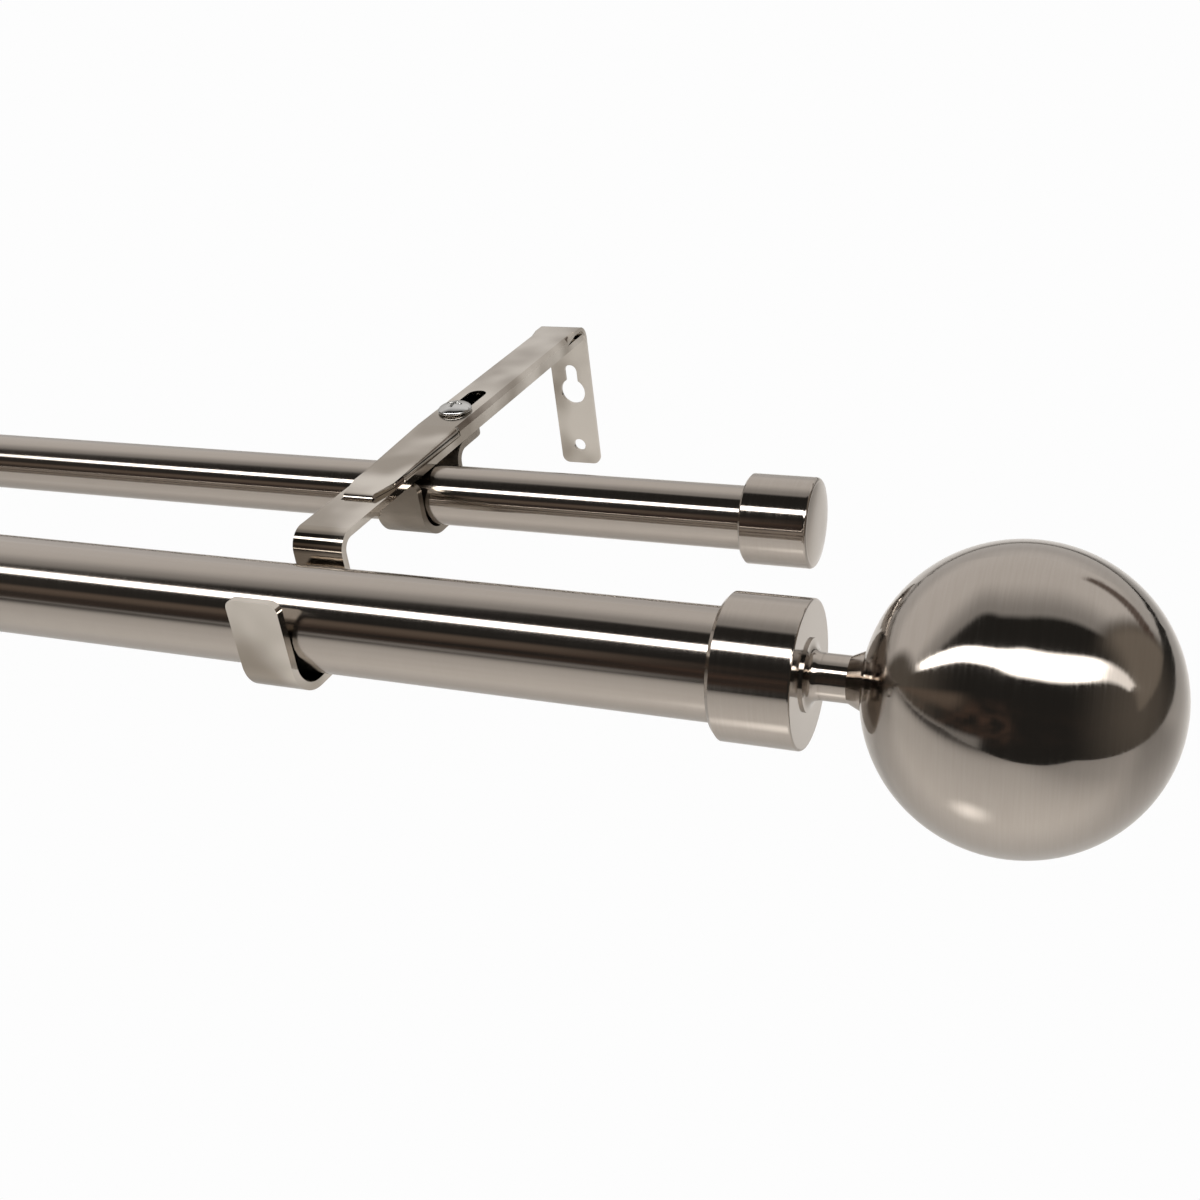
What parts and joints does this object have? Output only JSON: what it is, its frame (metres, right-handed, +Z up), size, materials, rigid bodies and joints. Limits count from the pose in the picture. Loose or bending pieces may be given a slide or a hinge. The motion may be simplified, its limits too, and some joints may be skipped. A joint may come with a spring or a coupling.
{
  "type": "double curtain pole",
  "caption": "Double curtain pole: thick front tube with ball finials, thin rear tube with plain caps, held by adjustable wall brackets with open hooks.",
  "frame": {"origin": "midway between the lower wall-screw holes of the two brackets, on the wall plane", "axes": "+X along the poles to the right, +Y into the wall (the room is on the -Y side), +Z up"},
  "size_m": [1.3484, 0.1965, 0.063],
  "materials": {
    "satin_nickel": "brushed satin nickel plate on steel",
    "polished_nickel": "fine satin nickel plate, nearly mirror bright",
    "bracket_nickel": "glossy nickel plate on pressed steel",
    "zinc_steel": "bright zinc plate"
  },
  "bodies": {
    "root": {"front_pole": "satin_nickel", "rear_pole": "satin_nickel", "finial_cap_left": "satin_nickel", "finial_neck_left": "satin_nickel", "finial_stud_left": "zinc_steel", "finial_ball_left": "polished_nickel", "rear_cap_left": "satin_nickel", "wall_arm_left": "bracket_nickel", "front_hook_left": "bracket_nickel", "rear_hook_left": "bracket_nickel", "clamp_screw_left": "zinc_steel", "finial_cap_right": "satin_nickel", "finial_neck_right": "satin_nickel", "finial_stud_right": "zinc_steel", "finial_ball_right": "polished_nickel", "rear_cap_right": "satin_nickel", "wall_arm_right": "bracket_nickel", "front_hook_right": "bracket_nickel", "rear_hook_right": "bracket_nickel", "clamp_screw_right": "zinc_steel"}
  },
  "joints": []
}
